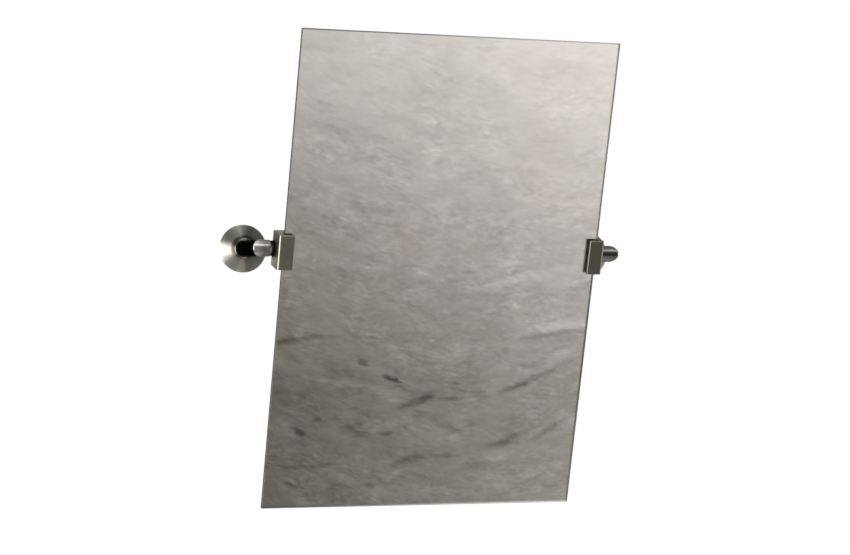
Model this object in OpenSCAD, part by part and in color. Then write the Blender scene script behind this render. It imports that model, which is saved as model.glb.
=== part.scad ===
// Wall mirror that tilts about a level line between two wall-mounted arms.
// Millimetres, +Z up. The wall is the plane y = 0 and the mirror stands in front of it, towards -Y.
// The origin lies on the wall, midway between the two wall plates, at the height of the pivot line.

/* [Mirror glass] */
// Height of the glass
glass_h = 610; // [400:5:900]
// Width of the glass
glass_w = 419; // [300:1:600]
// Thickness of the clear glass
glass_t = 4.7; // [3:0.1:8]
// Thickness of the silver coating
silver_t = 0.15; // [0.1:0.05:0.3]
// Thickness of the backing paint
paint_t = 0.15; // [0.1:0.05:0.3]
// Width of the small polished arris along the edges of the glass
arris = 0.8; // [0.3:0.1:1.2]
// Height of the pivot line above the middle of the glass
pivot_above_middle = 28; // [0:1:60]
// Forward lean of the glass at rest, in degrees
tilt = 14.5; // [0:0.5:15]

/* [Clamps] */
// Height of a clamp
clamp_h = 44; // [34:1:60]
// How far a clamp reaches over the glass
clamp_overlap = 12; // [8:0.5:15]
// Metal beside the edge of the glass
clamp_side_wall = 6.7; // [4:0.1:10]
// Thickness of the front lip over the glass
clamp_lip_t = 4.2; // [3:0.1:8]
// Depth of the solid back part that holds the pivot pin
clamp_back_t = 17.7; // [14:0.1:24]
// Distance from the pivot line to the back face of a clamp
pivot_to_clamp_back = 6.5; // [5.5:0.1:9]
// Radius along the outer upright edges of a clamp
clamp_edge_r = 2.2; // [1:0.1:2.6]
// Radius along its upright edges on the glass
clamp_inner_r = 0.8; // [0.4:0.1:2.6]
// Radius along the top and bottom edges of a clamp
clamp_end_r = 1.4; // [0.6:0.1:2.5]
// Thickness of the soft liner
liner_t = 0.8; // [0.5:0.1:1.5]
// Thickness of the pressure plate behind the liner
plate_t = 2; // [1.5:0.1:3]
// Free travel left behind the pressure plate
plate_travel = 0.5; // [0.3:0.1:1]
// Distance from the ends of the clamp to the ends of the pressure plate
plate_end_inset = 2; // [1:0.5:4]
// Height of each clamp set screw above or below the pivot line
clamp_screw_z = 12; // [9:0.5:14]
// Length of a clamp set screw
clamp_screw_len = 8; // [5:0.5:14]

/* [Arms] */
// Distance from the wall to the pivot line
pivot_standoff = 76; // [70:1:120]
// Diameter of the post and of the barrel
arm_d = 21; // [18:0.5:26]
// Distance from the post axis to the free end of the barrel
barrel_len = 14.6; // [13.5:0.1:24]
// Radius on the outer corner of the elbow, seen from above
elbow_corner_r = 1.5; // [1:0.5:4]
// Radius around the free end of the barrel
barrel_edge_r = 3; // [0.5:0.1:3]

/* [Pivots] */
// Diameter of the pivot pin
pin_d = 8; // [6:0.5:9]
// Length of pin held in the clamp
pin_hold = 10; // [7:0.5:12]
// Running clearance between pin and bush, on the radius
running_gap = 0.05; // [0.02:0.01:0.1]
// Wall thickness of the nylon bush
bush_wall = 1.95; // [1.2:0.05:2.5]
// Length of the nylon bush
bush_len = 12; // [8:0.5:12]
// Space behind the end of the pin
pin_end_space = 1; // [0.5:0.1:1]
// Distance from the end of the barrel to the friction screw
friction_screw_in = 6; // [4.5:0.5:7]
// Depth of the groove in the pin
groove_depth = 0.7; // [0.4:0.1:1.2]
// Diameter of the nylon tip that runs in the groove
tip_d = 3; // [2:0.1:3.2]
// Space between the sides of the groove and the tip
groove_side_gap = 0.2; // [0.1:0.05:0.5]
// Thickness of the black friction washer
washer_t = 2.4; // [1.5:0.1:4]
// Diameter of the black friction washer
washer_d = 19.4; // [15:0.1:20]
// Clearance between the pin and the washers, on the radius
washer_bore_gap = 0.3; // [0.3:0.05:0.6]
// Height of the coned spring washer when pressed
spring_h = 1; // [0.8:0.1:1.6]
// Sheet thickness of the coned spring washer
spring_sheet = 0.5; // [0.4:0.1:0.6]
// Diameter of the coned spring washer
spring_d = 16; // [13:0.5:17]
// Running gap between the friction washer and the clamp
face_gap = 0.05; // [0.02:0.01:0.1]

/* [Wall fixing] */
// Diameter of a flange
flange_d = 60; // [56:1:90]
// Thickness of a flange
flange_t = 8; // [7.4:0.1:12]
// Thickness of the front plate of a flange
flange_front_t = 2.5; // [1.5:0.1:3]
// Radius on the front edge of a flange
flange_edge_r = 1.2; // [0.5:0.1:1.4]
// Radius of the flat middle of a flange, which carries the collar
flange_flat_r = 14.5; // [13.5:0.1:20]
// How far the front of a flange falls away in an arc from there to the rim
flange_drop = 2; // [0.5:0.1:2.5]
// Thickness of the side wall of a flange
flange_wall_t = 3.7; // [2.5:0.1:5]
// Gap between the flange and the wall plate inside it
wall_plate_gap = 0.3; // [0.2:0.05:0.6]
// Thickness of a wall plate
wall_plate_t = 4.8; // [4.6:0.1:5]
// Depth of the groove around the wall plate
rim_groove = 1.2; // [0.8:0.1:1.8]
// Diameter of the wall screw holes
wall_hole_d = 5; // [4:0.5:6]
// Height of each wall screw hole above or below the middle
wall_hole_z = 16; // [14:0.5:18]
// Diameter of a wall screw head
wall_head_d = 9.4; // [8:0.1:10]
// Diameter of the collar at the foot of a post
collar_d = 27; // [25:0.5:29]
// Height of the collar
collar_h = 5; // [2:0.1:6]
// Radius on the front edge of the collar
collar_edge_r = 0.8; // [0.3:0.1:1]

/* [Screws] */
// Diameter of the small set screws
set_screw_d = 4; // [3:0.5:4]
// Size of the socket across its corners, in the small set screws
socket_d = 2.2; // [1.5:0.1:2.3]
// Depth of the socket in the small set screws
socket_depth = 1.8; // [1:0.1:2]
// Diameter of the screw that holds a post on its flange
post_screw_d = 6; // [5:0.5:8]
// Length of that screw beyond the flange
post_screw_reach = 14; // [10:1:25]
// Diameter of the head of that screw
post_head_d = 11; // [10:0.5:13]
// Height of the head of that screw
post_head_h = 3; // [2:0.1:3.5]
// Size of the socket across its corners, in the head of that screw
post_socket_d = 4.8; // [4:0.1:6]
// Depth of the socket in the head of that screw
post_socket_depth = 1.5; // [1:0.1:1.8]
// Clearance between a screw and its hole, on the radius
thread_gap = 0.03; // [0.02:0.01:0.06]

/* [Hidden] */
$fn = 64;

left = -1;
right = 1;
eps = 0.5; // overrun of a cutting tool past the face it opens

// Colours, as the photo shows them
nickel = [0.66, 0.64, 0.61];
bright_steel = [0.72, 0.72, 0.73];
black_nylon = [0.05, 0.05, 0.05];
white_nylon = [0.9, 0.89, 0.86];
soft_grey = [0.2, 0.2, 0.21];

// Depths in the tilting group, measured from the pivot line before the lean; the front is negative
clamp_back_y = pivot_to_clamp_back;
slot_back_y = clamp_back_y - clamp_back_t;
plate_front_y = slot_back_y - plate_travel - plate_t;
glass_back_y = plate_front_y - liner_t;
glass_all_t = glass_t + silver_t + paint_t;
glass_front_y = glass_back_y - glass_all_t;
slot_front_y = glass_front_y - liner_t;
clamp_front_y = slot_front_y - clamp_lip_t;

// Distances along the pivot line from the middle of the mirror
glass_edge_x = glass_w / 2;
slot_end_x = glass_edge_x + liner_t;
clamp_in_x = glass_edge_x - clamp_overlap;
clamp_out_x = slot_end_x + clamp_side_wall;
washer_stack = spring_h + washer_t + face_gap;
barrel_end_x = clamp_out_x + washer_stack;
post_x = barrel_end_x + barrel_len;
clamp_screw_x = (clamp_in_x + glass_edge_x) / 2;
friction_screw_x = barrel_end_x + friction_screw_in;

// Pivot radii
arm_r = arm_d / 2;
pin_r = pin_d / 2;
groove_r = pin_r - groove_depth;
bush_in_r = pin_r + running_gap;
bush_out_r = bush_in_r + bush_wall;
tip_r = tip_d / 2;
pin_end_x = barrel_end_x + bush_len;
set_r = set_screw_d / 2;
set_hole_r = set_r + thread_gap;
socket_r = socket_d / 2;

// Flange and wall plate
flange_r = flange_d / 2;
cavity_r = flange_r - flange_wall_t;
wall_plate_r = cavity_r - wall_plate_gap;
cavity_depth = flange_t - flange_front_t;
groove_y = wall_plate_t / 2;
post_screw_r = post_screw_d / 2;
head_clearance = 2.5; // space around the head of the post screw, inside the wall plate
plate_bore_r = post_head_d / 2 + head_clearance;
flange_screw_sink = 0.4; // how far the flange screw lies below the outside of the flange
flange_tip_r = 0.3; // radius of the flat on its coned tip
friction_screw_sink = 0.3; // how far the friction screw lies inside the barrel
post_hole_spare = 2; // depth of the tapped hole in the post beyond the end of its screw
dome_facets = 512; // sides of the full circle that gives the front of a flange its arc
mitre_cutter = 3 * pivot_standoff; // side of the block that cuts the mitre, longer than the whole arm

// ---------------------------------------------------------------- placing

// Draws its children on one side; they are modelled on the right, at positive X
module on_side(side) {
    if (side == left)
        mirror([1, 0, 0]) children();
    else
        children();
}

// Leans its children with the glass about the pivot line
module tilted() {
    translate([0, -pivot_standoff, 0])
        rotate([tilt, 0, 0])
            children();
}

// Stands a solid made along +Z on the pivot line, pointing along +X
module along_x(x) {
    translate([x, 0, 0]) rotate([0, 90, 0]) children();
}

// Turns a solid made along +Z to point out from the wall, along -Y
module out_of_wall() {
    rotate([90, 0, 0]) children();
}

// ---------------------------------------------------------------- shapes

// Rectangle from the origin with round corners, of one radius at its start in X and another at its end
module round_rect(w, h, start_r, end_r) {
    translate([start_r, 0]) square([w - start_r - end_r, h]);
    translate([0, start_r]) square([w - end_r, h - 2 * start_r]);
    translate([start_r, end_r]) square([w - start_r, h - 2 * end_r]);
    for (y = [start_r, h - start_r])
        translate([start_r, y]) circle(start_r);
    for (y = [end_r, h - end_r])
        translate([w - end_r, y]) circle(end_r);
}

// Rectangle about the origin with four cut corners
module cut_rect(w, h, c) {
    x = w / 2;
    y = h / 2;
    polygon([[c - x, -y], [x - c, -y], [x, c - y], [x, y - c],
             [x - c, y], [c - x, y], [-x, y - c], [-x, c - y]]);
}

// Upright sheet as wide as the glass less an inset, its front at y, centred on the glass
module sheet(y, t, inset) {
    translate([0, y + t / 2, -pivot_above_middle])
        cube([glass_w - 2 * inset, t, glass_h - 2 * inset], center = true);
}

// Disc with a round front edge, its back on the origin
module edged_disc(r, t, edge) {
    rotate_extrude() {
        square([r - edge, t]);
        square([r, t - edge]);
        translate([r - edge, t - edge]) circle(edge);
    }
}

// The same, with a flat middle from which the front falls away in an arc towards the edge
module domed_disc(r, t, edge, flat_r, drop) {
    run = r - flat_r;
    dome = (run * run + drop * drop) / (2 * drop);
    edge_x = r - edge;
    edge_y = t - dome + sqrt(pow(dome - edge, 2) - pow(edge_x - flat_r, 2));
    touch_x = flat_r + (edge_x - flat_r) * dome / (dome - edge);
    rotate_extrude() {
        square([flat_r, t]);
        square([r, edge_y]);
        translate([edge_x, edge_y]) circle(edge);
        intersection() {
            translate([flat_r, 0]) square([touch_x - flat_r, t]);
            translate([flat_r, t - dome]) circle(dome, $fn = dome_facets);
        }
    }
}

// Set screw along +Z with a hexagon socket in its lower end
module set_screw(len) {
    difference() {
        cylinder(h = len, r = set_r);
        translate([0, 0, -eps]) cylinder(h = socket_depth + eps, r = socket_r, $fn = 6);
    }
}

// ---------------------------------------------------------------- glass

module mirror_glass() {
    color([0.78, 0.83, 0.82])
        tilted()
            translate([0, glass_front_y + glass_t / 2, -pivot_above_middle])
                intersection() {
                    translate([0, 0, -glass_h / 2])
                        linear_extrude(glass_h) cut_rect(glass_w, glass_t, arris);
                    rotate([90, 0, 90])
                        translate([0, 0, -glass_w / 2])
                            linear_extrude(glass_w) cut_rect(glass_t, glass_h, arris);
                }
}

module silver_coating() {
    color([0.85, 0.85, 0.85])
        tilted() sheet(glass_front_y + glass_t, silver_t, arris);
}

module backing_paint() {
    color([0.35, 0.36, 0.37])
        tilted() sheet(glass_front_y + glass_t + silver_t, paint_t, arris);
}

// ---------------------------------------------------------------- clamps

// Outside of a clamp, round along all its edges
module clamp_block() {
    w = clamp_out_x - clamp_in_x;
    d = clamp_back_y - clamp_front_y;
    intersection() {
        translate([clamp_in_x, clamp_front_y, -clamp_h / 2])
            linear_extrude(clamp_h) round_rect(w, d, clamp_inner_r, clamp_edge_r);
        translate([clamp_in_x, clamp_front_y, -clamp_h / 2])
            rotate([90, 0, 90]) linear_extrude(w) round_rect(d, clamp_h, clamp_end_r, clamp_end_r);
    }
}

// Straight run of both clamp screw holes, from the slot to the back of the clamp
module clamp_screw_holes() {
    for (z = [-clamp_screw_z, clamp_screw_z])
        translate([clamp_screw_x, clamp_back_y + eps, z])
            out_of_wall() cylinder(h = clamp_back_t + 2 * eps, r = set_hole_r);
}

module clamp_body(side) {
    color(nickel)
        on_side(side) tilted()
            difference() {
                clamp_block();
                // slot for the glass, its liner and the pressure plate
                translate([clamp_in_x - eps, slot_front_y, -clamp_h])
                    cube([slot_end_x - clamp_in_x + eps, slot_back_y - slot_front_y, 2 * clamp_h]);
                clamp_screw_holes();
                along_x(clamp_out_x - pin_hold) cylinder(h = pin_hold + eps, r = pin_r + thread_gap);
            }
}

// Channel of soft plastic over the edge of the glass
module clamp_liner(side) {
    len = clamp_h - 2 * clamp_end_r;
    color(soft_grey)
        on_side(side) tilted()
            translate([0, 0, -len / 2])
                difference() {
                    translate([clamp_in_x + clamp_inner_r, slot_front_y, 0])
                        cube([slot_end_x - clamp_in_x - clamp_inner_r,
                              glass_all_t + 2 * liner_t, len]);
                    translate([0, glass_front_y, -eps])
                        cube([glass_edge_x, glass_all_t, len + 2 * eps]);
                }
}

module pressure_plate(side) {
    len = clamp_h - 2 * plate_end_inset;
    color(bright_steel)
        on_side(side) tilted()
            translate([clamp_in_x + clamp_edge_r, plate_front_y, -len / 2])
                cube([glass_edge_x - clamp_in_x - clamp_edge_r, plate_t, len]);
}

// The pair of set screws that press the plate, liner and glass against the front lip
module clamp_screws(side) {
    color(bright_steel)
        on_side(side) tilted()
            for (z = [-clamp_screw_z, clamp_screw_z])
                translate([clamp_screw_x, plate_front_y + plate_t + clamp_screw_len, z])
                    out_of_wall() set_screw(clamp_screw_len);
}

// ---------------------------------------------------------------- pivots

// Plain pin, fast in the clamp, with a groove for the friction tip
module pivot_pin(side) {
    groove_w = tip_d + 2 * groove_side_gap;
    start = clamp_out_x - pin_hold;
    groove_x = friction_screw_x - groove_w / 2;
    color(bright_steel)
        on_side(side) tilted() {
            along_x(start) cylinder(h = groove_x - start, r = pin_r);
            along_x(groove_x) cylinder(h = groove_w, r = groove_r);
            along_x(groove_x + groove_w) cylinder(h = pin_end_x - groove_x - groove_w, r = pin_r);
        }
}

module friction_washer(side) {
    color(black_nylon)
        on_side(side) translate([0, -pivot_standoff, 0])
            along_x(clamp_out_x + face_gap)
                difference() {
                    cylinder(h = washer_t, d = washer_d);
                    translate([0, 0, -eps])
                        cylinder(h = washer_t + 2 * eps, r = pin_r + washer_bore_gap);
                }
}

// Coned washer between the friction washer and the end of the barrel
module spring_washer(side) {
    inner = pin_r + washer_bore_gap;
    outer = spring_d / 2;
    rise = spring_h - spring_sheet;
    color([0.12, 0.12, 0.13])
        on_side(side) translate([0, -pivot_standoff, 0])
            along_x(clamp_out_x + face_gap + washer_t)
                rotate_extrude()
                    polygon([[inner, rise], [outer, 0], [outer, spring_sheet], [inner, spring_h]]);
}

// Nylon bearing in the barrel, with a side hole for the friction tip
module pivot_bush(side) {
    color(white_nylon)
        on_side(side) translate([0, -pivot_standoff, 0])
            difference() {
                along_x(barrel_end_x) cylinder(h = bush_len, r = bush_out_r);
                along_x(barrel_end_x - eps) cylinder(h = bush_len + 2 * eps, r = bush_in_r);
                translate([friction_screw_x, 0, -arm_r]) cylinder(h = arm_r, r = tip_r + thread_gap);
            }
}

module friction_screw(side) {
    color(bright_steel)
        on_side(side)
            translate([friction_screw_x, -pivot_standoff, friction_screw_sink - arm_r])
                set_screw(arm_r - friction_screw_sink - bush_out_r);
}

// Nylon tip that presses on the floor of the groove in the pin
module friction_tip(side) {
    color(white_nylon)
        on_side(side)
            translate([friction_screw_x, -pivot_standoff, -bush_out_r])
                cylinder(h = bush_out_r - groove_r - running_gap, r = tip_r);
}

// ---------------------------------------------------------------- arms

// Everything on the wall side of the mitre plane, or with side = -1 on the clamp side
module mitre_half(side) {
    rotate([0, 0, 45])
        translate([-mitre_cutter / 2, side > 0 ? 0 : -mitre_cutter, -mitre_cutter / 2])
            cube(mitre_cutter);
}

// Post and barrel joined by a mitre, the elbow at the origin, the wall towards +Y
module elbow(post_len) {
    intersection() {
        rotate([-90, 0, 0]) translate([0, 0, -2 * arm_r]) cylinder(h = post_len + 2 * arm_r, r = arm_r);
        mirror([1, 0, 0]) mitre_half(1);
    }
    intersection() {
        translate([2 * arm_r, 0, 0]) rotate([0, -90, 0])
            edged_disc(arm_r, barrel_len + 2 * arm_r, barrel_edge_r);
        mirror([1, 0, 0]) mitre_half(-1);
    }
}

// Tool that rounds the outer corner of the elbow, seen from above
module corner_tool() {
    translate([arm_r - elbow_corner_r, elbow_corner_r - arm_r, -arm_r - eps])
        linear_extrude(2 * (arm_r + eps))
            difference() {
                translate([0, -elbow_corner_r - eps]) square(elbow_corner_r + eps);
                circle(elbow_corner_r);
            }
}

module arm(side) {
    post_len = pivot_standoff - flange_t;
    color(nickel)
        on_side(side)
            difference() {
                translate([post_x, -pivot_standoff, 0])
                    difference() {
                        elbow(post_len);
                        corner_tool();
                    }
                // bore for the bush
                translate([0, -pivot_standoff, 0]) along_x(barrel_end_x - eps)
                    cylinder(h = bush_len + pin_end_space + eps, r = bush_out_r);
                // hole for the friction screw, from below
                translate([friction_screw_x, -pivot_standoff, -arm_r - eps])
                    cylinder(h = arm_r + eps, r = set_hole_r);
                // tapped hole in the foot of the post
                translate([post_x, -flange_t + eps, 0]) out_of_wall()
                    cylinder(h = post_screw_reach + post_hole_spare + eps, r = post_screw_r + thread_gap);
            }
}

module collar(side) {
    color(nickel)
        on_side(side)
            translate([post_x, -flange_t, 0]) out_of_wall()
                difference() {
                    edged_disc(collar_d / 2, collar_h, collar_edge_r);
                    translate([0, 0, -eps]) cylinder(h = collar_h + 2 * eps, r = arm_r + thread_gap);
                }
}

// ---------------------------------------------------------------- wall fixing

// Turned cup that hides the wall plate
module flange(side) {
    color(nickel)
        on_side(side)
            translate([post_x, 0, 0])
                difference() {
                    out_of_wall() domed_disc(flange_r, flange_t, flange_edge_r, flange_flat_r, flange_drop);
                    translate([0, eps, 0]) out_of_wall()
                        cylinder(h = cavity_depth + eps, r = cavity_r);
                    out_of_wall() cylinder(h = flange_t + eps, r = post_screw_r + thread_gap);
                    translate([0, -groove_y, -flange_r - eps])
                        cylinder(h = flange_wall_t + 2 * eps, r = set_hole_r);
                }
}

// Set screw under the flange; its coned tip sits in the groove of the wall plate
module flange_screw(side) {
    cone_h = set_r - flange_tip_r;
    groove_floor_r = wall_plate_r - rim_groove;
    start_r = flange_r - flange_screw_sink;
    plain_len = start_r - groove_floor_r - set_r - running_gap;
    color(bright_steel)
        on_side(side)
            translate([post_x, -groove_y, -start_r]) {
                set_screw(plain_len);
                translate([0, 0, plain_len]) cylinder(h = cone_h, r1 = set_r, r2 = flange_tip_r);
            }
}

// Screw that draws the post onto the flange from inside
module post_screw(side) {
    color(bright_steel)
        on_side(side)
            translate([post_x, -cavity_depth, 0]) {
                out_of_wall() cylinder(h = flange_front_t + post_screw_reach, r = post_screw_r);
                translate([0, post_head_h, 0]) out_of_wall()
                    difference() {
                        cylinder(h = post_head_h, d = post_head_d);
                        translate([0, 0, -eps])
                            cylinder(h = post_socket_depth + eps, d = post_socket_d, $fn = 6);
                    }
            }
}

// Disc screwed to the wall, grooved around its rim, open in the middle
module wall_plate(side) {
    color(bright_steel)
        on_side(side)
            translate([post_x, 0, 0])
                difference() {
                    out_of_wall()
                        rotate_extrude()
                            polygon([[plate_bore_r, 0], [wall_plate_r, 0],
                                     [wall_plate_r, groove_y - rim_groove],
                                     [wall_plate_r - rim_groove, groove_y],
                                     [wall_plate_r, groove_y + rim_groove],
                                     [wall_plate_r, wall_plate_t], [plate_bore_r, wall_plate_t]]);
                    for (z = [-wall_hole_z, wall_hole_z])
                        translate([0, 0, z]) {
                            translate([0, eps, 0]) out_of_wall()
                                cylinder(h = wall_plate_t + 2 * eps, d = wall_hole_d);
                            translate([0, -wall_plate_t, 0]) rotate([-90, 0, 0])
                                cylinder(h = (wall_head_d - wall_hole_d) / 2, d1 = wall_head_d, d2 = wall_hole_d);
                        }
                }
}

// ---------------------------------------------------------------- drawing

mirror_glass();
silver_coating();
backing_paint();
clamp_body(left);  // left_clamp_body
clamp_body(right);  // right_clamp_body
clamp_liner(left);  // left_clamp_liner
clamp_liner(right);  // right_clamp_liner
pressure_plate(left);  // left_pressure_plate
pressure_plate(right);  // right_pressure_plate
clamp_screws(left);  // left_clamp_screws
clamp_screws(right);  // right_clamp_screws
pivot_pin(left);  // left_pivot_pin
pivot_pin(right);  // right_pivot_pin
friction_washer(left);  // left_friction_washer
friction_washer(right);  // right_friction_washer
spring_washer(left);  // left_spring_washer
spring_washer(right);  // right_spring_washer
pivot_bush(left);  // left_pivot_bush
pivot_bush(right);  // right_pivot_bush
friction_screw(left);  // left_friction_screw
friction_screw(right);  // right_friction_screw
friction_tip(left);  // left_friction_tip
friction_tip(right);  // right_friction_tip
arm(left);  // left_arm
arm(right);  // right_arm
collar(left);  // left_collar
collar(right);  // right_collar
flange(left);  // left_flange
flange(right);  // right_flange
flange_screw(left);  // left_flange_screw
flange_screw(right);  // right_flange_screw
post_screw(left);  // left_post_screw
post_screw(right);  // right_post_screw
wall_plate(left);  // left_wall_plate
wall_plate(right);  // right_wall_plate
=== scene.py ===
import math

import bpy
from mathutils import Matrix, Vector


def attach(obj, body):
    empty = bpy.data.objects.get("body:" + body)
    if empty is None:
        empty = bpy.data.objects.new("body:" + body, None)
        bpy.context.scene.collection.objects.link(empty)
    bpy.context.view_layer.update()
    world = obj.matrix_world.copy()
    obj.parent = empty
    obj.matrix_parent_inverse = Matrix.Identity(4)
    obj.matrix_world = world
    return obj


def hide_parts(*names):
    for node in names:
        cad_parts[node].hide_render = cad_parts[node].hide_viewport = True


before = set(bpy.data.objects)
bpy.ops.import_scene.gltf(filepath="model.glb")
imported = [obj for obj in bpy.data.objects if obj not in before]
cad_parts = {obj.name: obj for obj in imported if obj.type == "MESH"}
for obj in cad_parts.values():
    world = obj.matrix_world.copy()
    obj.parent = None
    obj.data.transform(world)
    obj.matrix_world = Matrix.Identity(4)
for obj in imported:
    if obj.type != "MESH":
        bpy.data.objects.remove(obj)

bpy.context.view_layer.update()

# ---- where things are ------------------------------------------------------------
# Lengths are in metres unless a line says otherwise. X runs along the wall to the right, the wall is at
# Y = 0 with the room at negative Y, and Z is up from the tilting axis.

LEAN = math.radians(14.5)            # the glass leans forward from the wall at rest
POST_X = 0.23505                     # middle of each wall flange, left and right
PIVOT_Y = -0.076                     # the tilting axis, off the wall
GLASS_W = 0.419
GLASS_H = 0.610
PIVOT_ABOVE_MIDDLE = 0.028           # the tilting axis over the middle of the glass, along the glass
SILVER_AHEAD = 0.0148                # the silver in front of the tilting axis, through the glass

UP_GLASS = Vector((0, -math.sin(LEAN), math.cos(LEAN)))
OUT_OF_GLASS = Vector((0, -math.cos(LEAN), -math.sin(LEAN)))
SILVER_MIDDLE = Vector((0, PIVOT_Y, 0)) + SILVER_AHEAD * OUT_OF_GLASS - PIVOT_ABOVE_MIDDLE * UP_GLASS

CAMERA_AT = Vector((-1.0439, -2.8858, -0.0436))
CAMERA_HEADING = math.radians(20.07)
CAMERA_PITCH = math.radians(0.19)
CAMERA_ROLL = math.radians(0.65)
CAMERA_LENS = 100.4                  # millimetres
CAMERA_SENSOR = 36.0                 # width in millimetres
CAMERA_REACH = 40.0                  # nothing beyond this is drawn


# ---- helpers for node trees ------------------------------------------------------

NOISE_MIDDLE = 0.5                   # a noise goes from 0 to 1 and is mostly near this
MIX_FACTOR = 0                       # places of the sockets for colours on a Mix node
MIX_FIRST = 6
MIX_SECOND = 7
MIX_RESULT = 2


class Net:
    """One node tree. A value is a number, a vector, a colour or another node's output."""

    def __init__(self, tree):
        self.tree = tree
        tree.nodes.clear()

    def put(self, socket, value):
        if isinstance(value, bpy.types.NodeSocket):
            self.tree.links.new(value, socket)
        else:
            socket.default_value = value

    def fill(self, node, **sockets):
        """Puts each value in the socket of that name, with a space for each underscore."""
        for name, value in sockets.items():
            self.put(node.inputs[name.replace("_", " ")], value)

    def add(self, kind, settings=None, **sockets):
        node = self.tree.nodes.new(kind)
        for name, value in (settings or {}).items():
            setattr(node, name, value)
        self.fill(node, **sockets)
        return node

    def compute(self, kind, operation, values):
        """A node whose sockets take the values in order."""
        node = self.add(kind, {"operation": operation})
        for socket, value in zip(node.inputs, values):
            self.put(socket, value)
        return node

    def math(self, operation, *values):
        return self.compute("ShaderNodeMath", operation, values).outputs[0]

    def vector(self, operation, *values):
        node = self.compute("ShaderNodeVectorMath", operation, values)
        return node.outputs["Value" if operation in ("LENGTH", "DOT_PRODUCT") else "Vector"]

    def plus(self, a, b):
        return self.math("ADD", a, b)

    def minus(self, a, b):
        return self.math("SUBTRACT", a, b)

    def times(self, a, b):
        return self.math("MULTIPLY", a, b)

    def times_plus(self, a, b, c):
        """a times b, plus c."""
        return self.math("MULTIPLY_ADD", a, b, c)

    def share(self, a, b, part):
        """This part of a, and b for the rest."""
        return self.plus(self.times(a, part), self.times(b, 1.0 - part))

    def split(self, vector):
        return self.add("ShaderNodeSeparateXYZ", Vector=vector).outputs

    def join(self, x, y, z=0.0):
        return self.add("ShaderNodeCombineXYZ", X=x, Y=y, Z=z).outputs[0]

    def scaled(self, vector, x, y, z):
        return self.vector("MULTIPLY", vector, (x, y, z))

    def turn(self, vector, kind, start, goal):
        """A vector of this kind taken from one space to another."""
        settings = {"vector_type": kind, "convert_from": start, "convert_to": goal}
        return self.add("ShaderNodeVectorTransform", settings, Vector=vector).outputs[0]

    def fit(self, value, low, high, to_low=0.0, to_high=1.0, smooth=True):
        """The range low to high taken to the range to_low to to_high, and held at its ends."""
        settings = {"interpolation_type": "SMOOTHSTEP" if smooth else "LINEAR", "clamp": True}
        ends = {"From_Min": low, "From_Max": high, "To_Min": to_low, "To_Max": to_high}
        return self.add("ShaderNodeMapRange", settings, Value=value, **ends).outputs[0]

    def window(self, value, low, high, soft):
        """1 between low and high, falling smoothly to 0 over soft on either side."""
        rise = self.fit(value, low - soft, low)
        fall = self.fit(value, high, high + soft, 1.0, 0.0)
        return self.times(rise, fall)

    def noise(self, vector, scale=1.0, detail=2.0, roughness=0.5):
        sockets = {"Vector": vector, "Scale": scale, "Detail": detail, "Roughness": roughness}
        return self.add("ShaderNodeTexNoise", **sockets).outputs["Fac"]

    def swing(self, vector, scale=1.0, detail=2.0, roughness=0.5):
        """Noise that goes to either side of 0."""
        return self.minus(self.noise(vector, scale, detail, roughness), NOISE_MIDDLE)

    def stretch(self, noise, reach, to_low=0.0, to_high=1.0, smooth=True):
        """A noise up to reach on either side of its middle, taken to another range."""
        return self.fit(noise, NOISE_MIDDLE - reach, NOISE_MIDDLE + reach, to_low, to_high, smooth)

    def mix(self, factor, first, second, mode="MIX"):
        node = self.add("ShaderNodeMix", {"data_type": "RGBA", "blend_type": mode})
        self.put(node.inputs[MIX_FACTOR], factor)
        self.put(node.inputs[MIX_FIRST], first)
        self.put(node.inputs[MIX_SECOND], second)
        return node.outputs[MIX_RESULT]

    def with_painted_light(self, colour, painted_light):
        """The colour times a number of painted light or shade."""
        return self.mix(1.0, colour, self.join(painted_light, painted_light, painted_light), "MULTIPLY")

    def bump(self, height, distance, strength=1.0):
        return self.add("ShaderNodeBump", Height=height, Distance=distance, Strength=strength).outputs[0]


def rgb(r, g, b):
    return (r, g, b, 1.0)


def surface(name, shader_kind):
    """A new material with one shader: the material, its net, which keeps the output, and the shader."""
    mat = bpy.data.materials.new(name)
    mat.use_nodes = True
    net = Net(mat.node_tree)
    shader = net.add(shader_kind)
    net.output = net.add("ShaderNodeOutputMaterial", Surface=shader.outputs[0])
    return mat, net, shader


def material(name, build, **fixed):
    """A Principled material. What is fixed is the same all over and stands on the shader's own sockets."""
    mat, net, shader = surface(name, "ShaderNodeBsdfPrincipled")
    net.fill(shader, **fixed)
    build(net, shader)
    return mat


def place(net):
    """Where a point is on its piece at rest, in metres: CAD nodes sit at the origin."""
    return net.add("ShaderNodeTexCoord").outputs["Object"]


def upright(net):
    """The same for pieces that lean with the glass, turned back so that Z runs up the glass."""
    return net.add("ShaderNodeMapping", Vector=place(net), Rotation=(-LEAN, 0, 0)).outputs[0]


# ---- metals ----------------------------------------------------------------------

NICKEL = (0.30, 0.278, 0.236)
FLANGE_NICKEL = (0.56, 0.54, 0.49)
# The collar's nickel is darkened by painted shade.
COLLAR_NICKEL_PAINTED_SHADE = (0.34, 0.325, 0.30)
BRIGHT_STEEL = (0.60, 0.59, 0.57)
SPRING_STEEL = (0.36, 0.34, 0.32)
BRUSH_RELIEF = 0.6                   # strength of the bump that the streaks give


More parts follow.
